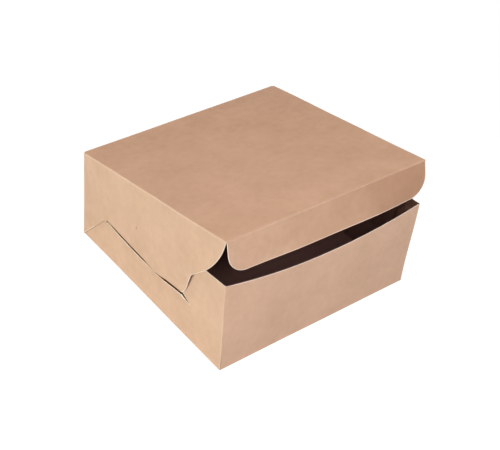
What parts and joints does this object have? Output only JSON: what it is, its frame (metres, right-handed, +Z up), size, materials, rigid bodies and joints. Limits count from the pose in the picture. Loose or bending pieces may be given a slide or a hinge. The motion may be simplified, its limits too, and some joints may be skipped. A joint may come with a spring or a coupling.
{
  "type": "bakery box",
  "caption": "Square kraft board box with a hinged lid, side tongues that slip into slits in the walls, and a front flap; lid slightly raised.",
  "frame": {"origin": "middle of the tray's underside", "axes": "+Z up, the front faces -Y, the left side faces -X"},
  "size_m": [0.232, 0.2349, 0.1496],
  "materials": {
    "kraft_board": "plain uncoated kraft board, matte"
  },
  "bodies": {
    "tray": {"tray": "kraft_board"},
    "lid": {"lid": "kraft_board", "left_tongue": "kraft_board", "right_tongue": "kraft_board"},
    "front_flap": {"front_flap": "kraft_board"}
  },
  "joints": [
    {"name": "lid_hinge", "type": "hinge", "parent": "tray", "child": "lid", "pos_m": [0, 0.1142, 0.1016], "axis": [-1, 0, 0], "range_deg": [-12, 168], "deforming": ["left_tongue", "right_tongue"]},
    {"name": "front_flap_fold", "type": "hinge", "parent": "lid", "child": "front_flap", "pos_m": [0, -0.11028, 0.14932], "axis": [-1, 0, 0], "range_deg": [-5, 85]}
  ]
}
